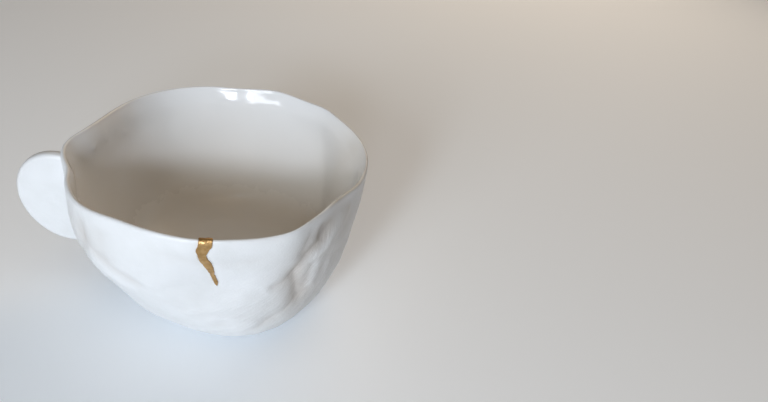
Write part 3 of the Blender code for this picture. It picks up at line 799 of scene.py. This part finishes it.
def ramp(tree, factor, places, colours):
    """A colour ramp through two colours at two places."""
    node = add_node(tree, "ShaderNodeValToRGB", {"Fac": factor})
    for element, place, colour in zip(node.color_ramp.elements, places, colours):
        element.position = place
        element.color = (*colour, 1.0)
    return node.outputs["Color"]


def spread_value(tree, factor, low, high):
    """Map 0 to 1 onto a range."""
    inputs = {"Value": factor, "To Min": low, "To Max": high}
    return add_node(tree, "ShaderNodeMapRange", inputs).outputs["Result"]


def arithmetic(tree, operation, first, second):
    """A maths node on two values, each a socket or a number."""
    return add_node(tree, "ShaderNodeMath", {0: first, 1: second}, operation=operation).outputs["Value"]


def bumped(tree, height, distance, normal=None):
    """A bump node over an earlier normal."""
    inputs = {"Strength": 1.0, "Distance": distance, "Height": height}
    if normal is not None:
        inputs["Normal"] = normal
    return add_node(tree, "ShaderNodeBump", inputs).outputs["Normal"]


def mixed(tree, factor, first, second):
    """One colour turned into another by a factor."""
    inputs = {"Factor": factor, COLOUR_A: first, COLOUR_B: second}
    return add_node(tree, "ShaderNodeMix", inputs, data_type="RGBA").outputs[MIXED_COLOUR]


def noted(tree, name):
    """A value written at the piece's points."""
    return add_node(tree, "ShaderNodeAttribute", {}, attribute_name=name).outputs["Fac"]


def measured_along(tree, vector, direction):
    """The product of a place with a direction, which measures how far along it the place lies."""
    inputs = {0: vector, 1: direction}
    return add_node(tree, "ShaderNodeVectorMath", inputs, operation="DOT_PRODUCT").outputs["Value"]


def streak_height(tree, place):
    """Height of the fine streaks brushed into the outside."""
    total = 0.0
    up = Vector((0.0, 0.0, 1.0))
    for number, (middle, _, _, _, slant, length, width) in enumerate(STREAKS):
        turn, lean = math.radians(middle), math.radians(slant)
        round_wall = Vector((-math.sin(turn), math.cos(turn), 0.0))
        along = round_wall * math.cos(lean) + up * math.sin(lean)
        across = up * math.cos(lean) - round_wall * math.sin(lean)
        grain = add_node(tree, "ShaderNodeCombineXYZ", {
            "X": measured_along(tree, place, along / (length * MM)),
            "Y": measured_along(tree, place, across / (width * MM)),
            "Z": number * STREAK_LAYER})
        height = noise_node(tree, grain.outputs["Vector"], 1.0, 2.0)
        height = arithmetic(tree, "MULTIPLY", height, noted(tree, f"streaks_{number}"))
        total = arithmetic(tree, "ADD", total, height)
    return total


def porcelain_material(finish):
    """White porcelain: glossy glaze inside, satin and finely wrinkled outside, with painted shade in
    the creases, on patches of both sides and towards the floor inside.
    """
    material, tree, shader = new_material("porcelain")
    place = tree.nodes.new("ShaderNodeTexCoord").outputs["Object"]
    inside = noted(tree, "glaze")
    outside = arithmetic(tree, "SUBTRACT", 1.0, inside)

    clouds = noise_node(tree, place, CLOUD_CELLS, 3.0)
    body = ramp(tree, clouds, CLOUD_ENDS, (finish.porcelain_shade, finish.porcelain))
    # Painted shade: the body is turned towards the darker crease colour in the creases and on the
    # shaded patches.
    body = mixed(tree, noted(tree, "creases"), body, (*finish.porcelain_crease_shade, 1.0))
    # Painted shade: the glaze is painted darker and warmer towards the floor, and over the inside's
    # shade patches.
    level = arithmetic(tree, "DIVIDE", measured_along(tree, place, (0.0, 0.0, 1.0)), SHADE_AND_DULL_HEIGHT * MM)
    depth = arithmetic(tree, "MAXIMUM", 0.0, arithmetic(tree, "SUBTRACT", 1.0, level))
    depth_and_inside_shade = arithmetic(tree, "ADD", depth, noted(tree, "inside_shade"))
    glaze = ramp(tree, depth_and_inside_shade, (0.0, 1.0), (finish.glaze, finish.glaze_shaded))

    patches = noise_node(tree, place, SATIN_CELLS, 4.0)
    satin = spread_value(tree, patches, *(finish.satin + off for off in SATIN_SPREAD))
    polish = spread_value(tree, patches, *(finish.gloss + off for off in GLOSS_SPREAD))
    polish = arithmetic(tree, "ADD", polish, arithmetic(tree, "MULTIPLY", DULL_FLOOR, depth))
    rough = add_node(tree, "ShaderNodeMix", {"Factor": inside, "A": satin, "B": polish})

    grain = noise_node(tree, place, SKIN_CELLS, 4.0, 0.6)
    skin = arithmetic(tree, "MULTIPLY", grain, outside)
    brushed = bumped(tree, streak_height(tree, place), STREAK_DEPTH * MM)
    feed(tree, shader, {
        "Base Color": mixed(tree, inside, body, glaze),
        "Roughness": rough.outputs["Result"],
        "Normal": bumped(tree, skin, SKIN_DEPTH * MM, brushed),
        "IOR": PORCELAIN_IOR})
    return material


def gold_material(finish):
    """Gold lacquer: satin metal, brushed on by hand, darker where it is worn."""
    material, tree, shader = new_material("gold_lacquer")
    place = tree.nodes.new("ShaderNodeTexCoord").outputs["Object"]
    patches = noise_node(tree, place, WORN_CELLS, 4.0, 0.6)
    stretch = add_node(tree, "ShaderNodeMapping", {
        "Vector": place, "Rotation": (0.0, math.radians(BRUSH_LEAN), 0.0), "Scale": BRUSH_STRETCH})
    brush = noise_node(tree, stretch.outputs["Vector"], BRUSH_CELLS, 3.0, 0.6)
    feed(tree, shader, {
        "Base Color": ramp(tree, patches, WORN_ENDS, (finish.gold_worn, finish.gold)),
        "Roughness": spread_value(tree, patches, *GOLD_ROUGHNESS),
        "Normal": bumped(tree, brush, BRUSH_DEPTH * MM),
        "Metallic": 1.0})
    return material


def colour_setting(name, description, default):
    """A colour for the panel."""
    return bpy.props.FloatVectorProperty(
        name=name, description=description, default=default, subtype="COLOR", size=3, min=0.0, max=1.0)


def share_setting(name, description, default, low=0.0):
    """A share of 1 for the panel."""
    return bpy.props.FloatProperty(
        name=name, description=description, default=default, min=low, max=1.0, subtype="FACTOR")


def angle_setting(name, description, degrees):
    """An angle for the panel."""
    return bpy.props.FloatProperty(
        name=name, description=description, default=math.radians(degrees), subtype="ANGLE")


class CupFinish(bpy.types.PropertyGroup):
    """Colours and polish of the cup."""

    porcelain: colour_setting("Porcelain", "Colour of the porcelain", (0.70, 0.71, 0.72))
    porcelain_shade: colour_setting(
        "Porcelain, darker", "Colour of the clouds in the porcelain", (0.665, 0.675, 0.68))
    # Painted shade: the darker, warmer colour painted into the creases and over the outside's shaded
    # patches.
    porcelain_crease_shade: colour_setting(
        "Porcelain, creases", "Colour of the porcelain deep in its creases", (0.52, 0.49, 0.46))
    # Painted shade: the glaze is painted from this colour near the rim to the darker, warmer one below,
    # towards the floor and over the inside's shade patches.
    glaze: colour_setting("Glaze", "Colour of the glazed inside near the rim", (0.85, 0.868, 0.885))
    glaze_shaded: colour_setting(
        "Glaze, pooled", "Colour of the glaze where it has run down", (0.77, 0.735, 0.685))
    gloss: share_setting("Inside roughness", "Roughness of the glaze inside the cup", 0.10, 0.02)
    satin: share_setting("Outside roughness", "Roughness of the satin outside", 0.38, 0.1)
    gold: colour_setting("Gold", "Colour of the gold lacquer", (0.62, 0.39, 0.17))
    gold_worn: colour_setting("Gold, worn", "Colour of the worn lacquer", (0.46, 0.27, 0.10))


class StageSettings(bpy.types.PropertyGroup):
    """Camera and light."""

    azimuth: angle_setting("Azimuth", "How far round to the right of the front the camera stands", 4.4)
    elevation: angle_setting("Elevation", "How far above level the camera stands", 36.1)
    roll: angle_setting("Roll", "Lean of the camera", -1.28)
    distance: bpy.props.FloatProperty(
        name="Distance", description="From the camera to the aim", default=227.9 * MM, unit="LENGTH")
    aim_height: bpy.props.FloatProperty(
        name="Aim height", description="Height on the cup's axis that the camera aims at",
        default=26.0 * MM, unit="LENGTH")
    lens: bpy.props.FloatProperty(
        name="Lens", description="Focal length on a 36 mm sensor", default=31.06, unit="CAMERA")
    across: share_setting(
        "Place across", "Where the aim lies across the picture, as a share of its width", 0.2953)
    down: share_setting(
        "Place down", "Where the aim lies down the picture, as a share of its height", 0.5478)
    light_power: bpy.props.FloatProperty(
        name="Light", description="Strength of all the softboxes together", default=1.0, min=0.0)
    floor_glow: bpy.props.FloatProperty(
        name="Floor glow", description="How much the floor is lit from below", default=0.11, min=0.0)


class MESH_OT_cup_body(bpy.types.Operator):
    """Model the squeezed porcelain cup with its disc handle."""

    bl_idname = "mesh.kintsugi_cup_body"
    bl_label = "Cup Body"

    def execute(self, context):
        body = turned_piece("cup", turned_section(), STEPS_AROUND)
        notes = shape_cup(body)
        uncut = read_points(body)
        disc = disc_handle()
        boolean(disc, "DIFFERENCE", solid_core())
        boolean(body, "UNION", disc)
        boolean(body, "DIFFERENCE", chip_prism("chip", 0.0, 0.0))
        carry_notes(body, uncut, notes)
        make_active(body)
        bpy.ops.object.shade_smooth()
        material = porcelain_material(context.scene.cup_finish)
        finished(body, "porcelain_cup", "cup_body", material)
        return {"FINISHED"}


class MESH_OT_gold_seam(bpy.types.Operator):
    """Model the gold lacquer that fills the chip in the rim."""

    bl_idname = "mesh.kintsugi_gold_seam"
    bl_label = "Gold Seam"

    def execute(self, context):
        proud = turned_piece("proud_cup", turned_section(), STEPS_AROUND)
        shape_cup(proud)
        write_points(proud, read_points(proud) + read_rows(proud, "normal") * GOLD_PROUD)
        seam = chip_prism("seam", GOLD_OVERLAP, GOLD_RAGGED)
        boolean(seam, "INTERSECT", proud)
        apply_modifier(seam, "REMESH", mode="VOXEL", voxel_size=GOLD_GRAIN * MM)
        apply_modifier(seam, "SMOOTH", factor=GOLD_SOFTENING[0], iterations=GOLD_SOFTENING[1])
        points = read_points(seam)
        write_points(seam, points + read_rows(seam, "normal") * lumps(points, GOLD_LUMPS)[:, None])
        bpy.ops.object.shade_smooth()
        material = gold_material(context.scene.cup_finish)
        finished(seam, "gold_lacquer_seam", "gold_seam", material)
        return {"FINISHED"}


class SCENE_OT_cup_stage(bpy.types.Operator):
    """Set up the plain floor, the soft light and the camera."""

    bl_idname = "scene.kintsugi_cup_stage"
    bl_label = "Stage"

    def execute(self, context):
        stage = context.scene.cup_stage
        self.add_floor(stage)
        self.add_lights(stage)
        self.add_room(context.scene)
        self.add_camera(context.scene, stage)
        return {"FINISHED"}

    def add_floor(self, stage):
        start_piece()
        bpy.ops.mesh.primitive_plane_add(size=FLOOR_SIZE, location=(0.0, 0.0, CUP_LOW.z))
        floor = bpy.context.object
        floor.name = "floor"
        material, tree, shader = new_material("pale_floor")
        feed(tree, shader, {
            "Base Color": (*FLOOR_COLOUR, 1.0),
            "Roughness": FLOOR_ROUGHNESS,
            "Specular IOR Level": FLOOR_SHINE,
            "Emission Color": (*FLOOR_GLOW, 1.0),
            "Emission Strength": stage.floor_glow})
        floor.data.materials.append(material)

    def add_lights(self, stage):
        aim = Vector((0.0, 0.0, stage.aim_height))
        for name, direction, rise, size, colour in SOFTBOXES:
            away = Vector(unit_vector(direction, rise))
            start_piece()
            bpy.ops.object.light_add(type="AREA", location=aim + away * SOFTBOX_DISTANCE)
            softbox = bpy.context.object
            softbox.name = name
            softbox.rotation_euler = away.to_track_quat("Z", "Y").to_euler()
            softbox.data.shape = "ELLIPSE"
            softbox.data.size_y, softbox.data.size = size       # its own X axis stands upright
            softbox.data.energy = stage.light_power * max(colour)
            softbox.data.color = [share / max(colour) for share in colour]

    def add_room(self, scene):
        world = bpy.data.worlds.new("room")
        world.use_nodes = True
        tree = world.node_tree
        seen = tree.nodes.new("ShaderNodeLightPath").outputs["Is Camera Ray"]
        bright = arithmetic(tree, "ADD", arithmetic(tree, "MULTIPLY", seen, ROOM_SEEN), ROOM_STRENGTH)
        feed(tree, tree.nodes["Background"], {"Color": (*ROOM_COLOUR, 1.0), "Strength": bright})
        scene.world = world

    def add_camera(self, scene, stage):
        turn, rise = math.degrees(stage.azimuth), math.degrees(stage.elevation)
        back = Vector(unit_vector(turn - 90.0, rise))
        right = Vector(unit_vector(turn, 0.0))
        upright = Matrix((right, back.cross(right), back)).transposed()
        lean = Matrix.Rotation(stage.roll, 3, "Z")
        start_piece()
        bpy.ops.object.camera_add(location=Vector((0.0, 0.0, stage.aim_height)) + back * stage.distance)
        camera = bpy.context.object
        camera.name = "camera"
        camera.data.lens = stage.lens
        camera.data.clip_start = CLIP_START
        width = camera.data.sensor_width
        height = width * PICTURE_SHAPE
        aside = Vector(((stage.across - 0.5) * width, (0.5 - stage.down) * height, -stage.lens))
        swing = Vector((0.0, 0.0, -1.0)).rotation_difference(aside.normalized()).to_matrix()
        camera.rotation_euler = (upright @ lean @ swing.transposed()).to_euler()
        scene.camera = camera
        scene.view_settings.view_transform = "Standard"


class VIEW3D_PT_kintsugi_cup(bpy.types.Panel):
    """Lists the cup's pieces and its stage."""

    bl_label = "Kintsugi Cup"
    bl_space_type = "VIEW_3D"
    bl_region_type = "UI"
    bl_category = TAB

    def draw(self, context):
        for piece in PIECES:
            self.layout.operator(piece.bl_idname)
        for settings in (context.scene.cup_finish, context.scene.cup_stage):
            box = self.layout.box()
            for name in settings.__annotations__:
                box.prop(settings, name)


PIECES = (SCENE_OT_cup_stage, MESH_OT_cup_body, MESH_OT_gold_seam)
CLASSES = (CupFinish, StageSettings, *PIECES, VIEW3D_PT_kintsugi_cup)


def register():
    for kind in CLASSES:
        bpy.utils.register_class(kind)
    bpy.types.Scene.cup_finish = bpy.props.PointerProperty(type=CupFinish)
    bpy.types.Scene.cup_stage = bpy.props.PointerProperty(type=StageSettings)


def unregister():
    del bpy.types.Scene.cup_stage
    del bpy.types.Scene.cup_finish
    for kind in reversed(CLASSES):
        bpy.utils.unregister_class(kind)


def main():
    register()
    bpy.ops.scene.kintsugi_cup_stage()
    bpy.ops.mesh.kintsugi_cup_body()
    bpy.ops.mesh.kintsugi_gold_seam()


if __name__ == "__main__":
    main()
